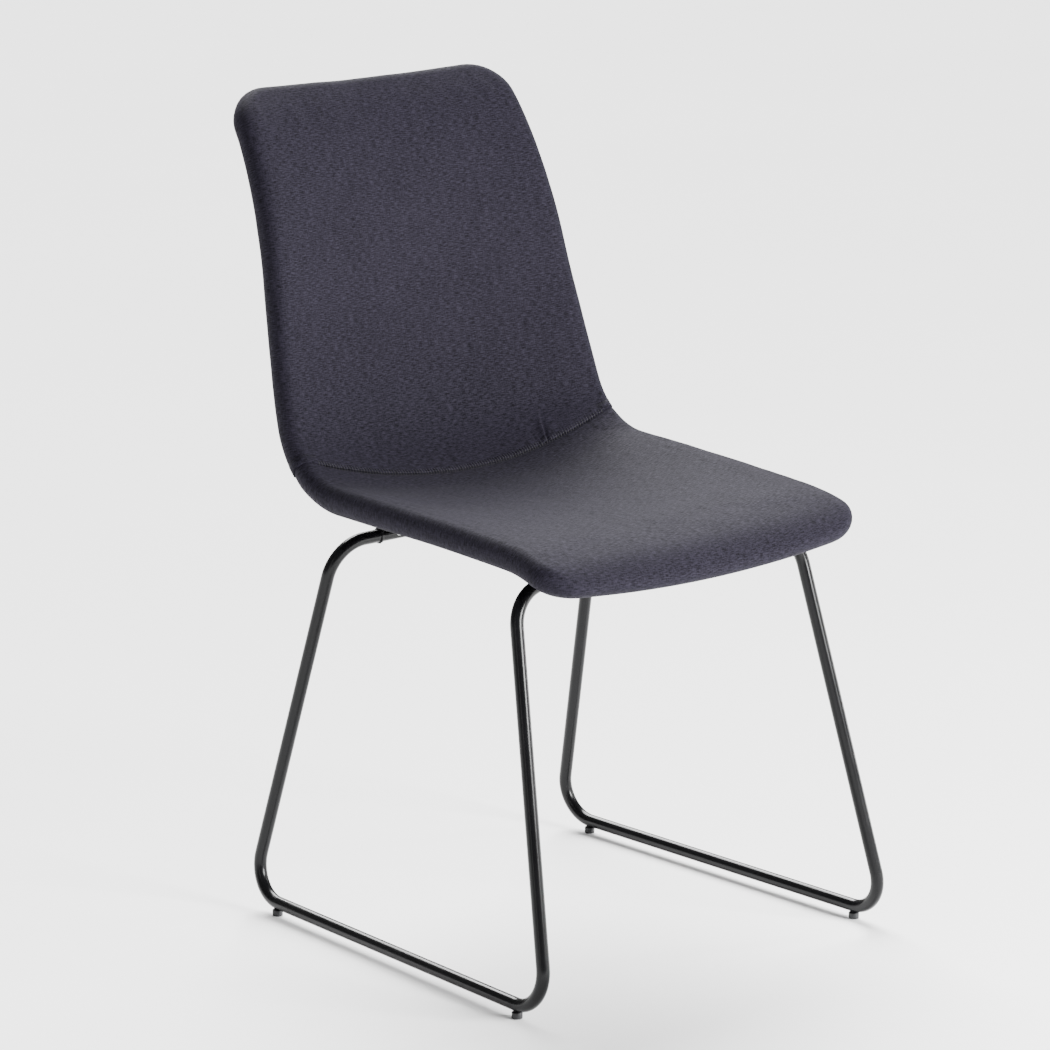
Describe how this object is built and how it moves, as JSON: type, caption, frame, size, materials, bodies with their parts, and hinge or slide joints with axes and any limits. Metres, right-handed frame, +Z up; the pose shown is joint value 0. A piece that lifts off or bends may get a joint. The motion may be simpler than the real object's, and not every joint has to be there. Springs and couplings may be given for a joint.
{
  "type": "dining chair",
  "caption": "Dining chair with an upholstered one-piece shell seat and back on a bent-tube sled frame with open trapezoid sides and button glides.",
  "frame": {"origin": "on the floor under the middle of the chair's bounding box", "axes": "+Z up, -Y towards the front of the seat, +X to the right seen from the front"},
  "size_m": [0.487, 0.5872, 0.87],
  "materials": {
    "upholstery_fabric": "matte",
    "underside_fabric": "matte",
    "foam": "matte",
    "felt": "matte",
    "plywood": "satin",
    "powder_coated_steel": "satin",
    "glide_plastic": "matte",
    "zinc_hardware": "satin"
  },
  "bodies": {
    "root": {"plywood_shell": "plywood", "seat_foam": "foam", "back_foam": "foam", "seat_felt": "felt", "back_felt": "felt", "seat_cover": "upholstery_fabric", "inner_back_cover": "upholstery_fabric", "outer_back_cover": "upholstery_fabric", "underside_cover": "underside_fabric", "side_frame_left": "powder_coated_steel", "side_frame_right": "powder_coated_steel", "cross_tube_front": "powder_coated_steel", "cross_tube_rear": "powder_coated_steel", "mounting_plate_front_left": "powder_coated_steel", "glide_front_left": "glide_plastic", "spacer_front_left": "glide_plastic", "screw_front_left": "zinc_hardware", "washer_front_left": "zinc_hardware", "tnut_front_left": "zinc_hardware", "mounting_plate_front_right": "powder_coated_steel", "glide_front_right": "glide_plastic", "spacer_front_right": "glide_plastic", "screw_front_right": "zinc_hardware", "washer_front_right": "zinc_hardware", "tnut_front_right": "zinc_hardware", "mounting_plate_rear_left": "powder_coated_steel", "glide_rear_left": "glide_plastic", "spacer_rear_left": "glide_plastic", "screw_rear_left": "zinc_hardware", "washer_rear_left": "zinc_hardware", "tnut_rear_left": "zinc_hardware", "mounting_plate_rear_right": "powder_coated_steel", "glide_rear_right": "glide_plastic", "spacer_rear_right": "glide_plastic", "screw_rear_right": "zinc_hardware", "washer_rear_right": "zinc_hardware", "tnut_rear_right": "zinc_hardware"}
  },
  "joints": []
}
